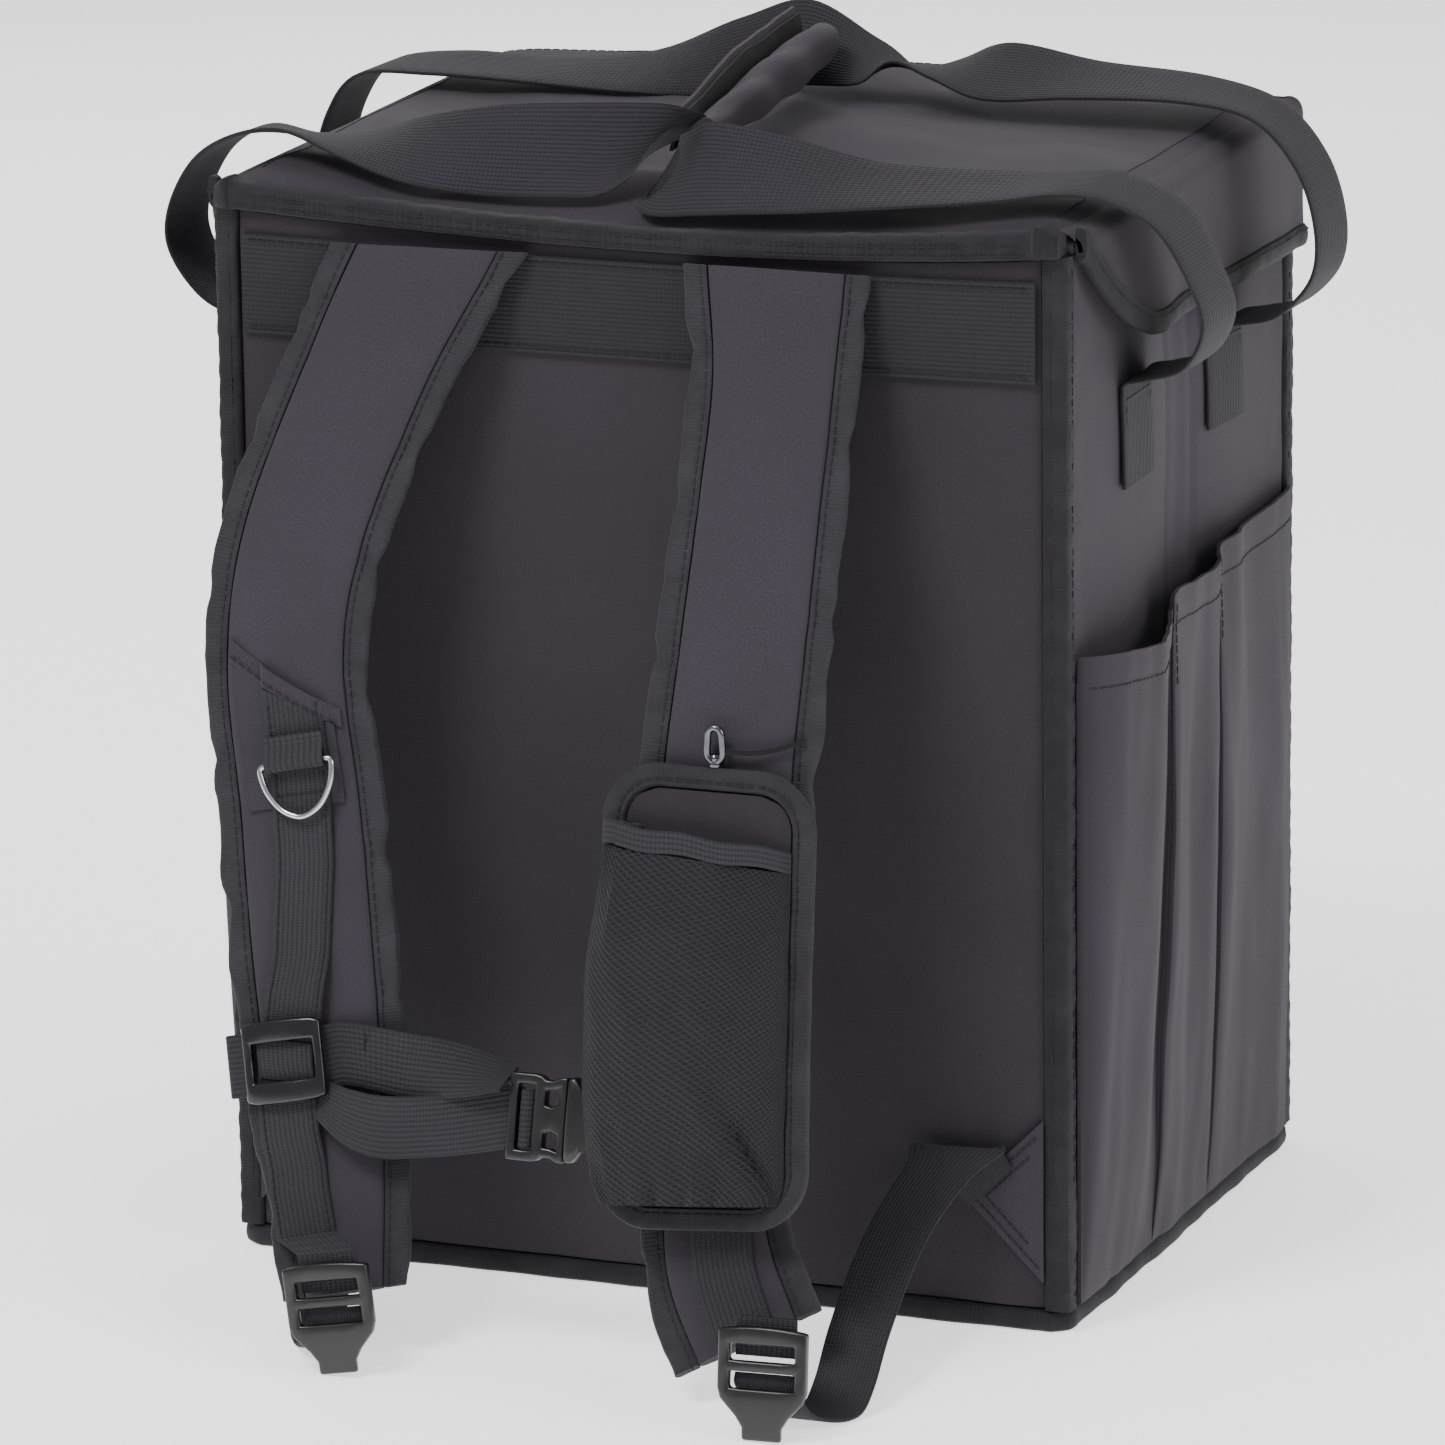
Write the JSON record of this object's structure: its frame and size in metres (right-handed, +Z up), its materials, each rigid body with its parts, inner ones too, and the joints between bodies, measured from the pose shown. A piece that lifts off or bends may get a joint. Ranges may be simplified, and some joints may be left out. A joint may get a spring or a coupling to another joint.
{
  "type": "insulated delivery backpack",
  "caption": "Box-shaped insulated backpack with hinged lid, padded shoulder straps, chest strap, mesh phone pouch, carrying handles and side pockets.",
  "frame": {"origin": "middle of the base, on the floor", "axes": "+Z up, the strap panel faces -Y, +X to the right when facing the strap panel"},
  "size_m": [0.4489, 0.4525, 0.4917],
  "materials": {
    "body_cloth": "fine twill, matt",
    "strap_panel_cloth": "fine twill, matt",
    "tape": "woven binding tape",
    "webbing": "ribbed webbing, matt",
    "net": "open diagonal mesh",
    "plastic": "satin moulded",
    "steel": "polished",
    "cord": "braided"
  },
  "bodies": {
    "root": {"back_panel": "strap_panel_cloth", "front_panel": "body_cloth", "side_panel_right": "body_cloth", "side_panel_left": "body_cloth", "base_panel": "strap_panel_cloth", "edge_binding_back_left": "tape", "edge_binding_back_right": "tape", "edge_binding_front_left": "tape", "edge_binding_front_right": "tape", "base_binding": "tape", "lid_top": "body_cloth", "hinge_binding": "tape", "lid_skirt": "body_cloth", "lid_skirt_binding": "tape", "webbing_band": "webbing", "anchor_patch_left": "strap_panel_cloth", "anchor_patch_right": "strap_panel_cloth", "shoulder_pad_left": "body_cloth", "pad_binding_left_left": "tape", "pad_binding_left_right": "tape", "shoulder_pad_right": "body_cloth", "pad_binding_right_left": "tape", "pad_binding_right_right": "tape", "pad_cover_left": "body_cloth", "strap_webbing_left": "webbing", "strap_webbing_right": "webbing", "d_ring_left": "steel", "d_ring_tab_left": "webbing", "sternum_slider_left": "plastic", "sternum_webbing_left_back": "webbing", "sternum_webbing_left_front": "webbing", "buckle_male": "plastic", "buckle_female": "plastic", "sternum_webbing_right": "webbing", "ladder_lock_left": "plastic", "ladder_lock_right": "plastic", "lower_webbing_left": "webbing", "lower_webbing_right": "webbing", "pouch_back": "strap_panel_cloth", "pouch_binding": "tape", "pouch_mesh": "net", "pouch_elastic": "webbing", "pouch_hook": "steel", "tether_cord": "cord", "handle_near": "webbing", "handle_far": "webbing", "handle_wrap": "body_cloth", "side_pocket_left": "body_cloth", "side_pocket_right": "body_cloth"}
  },
  "joints": []
}
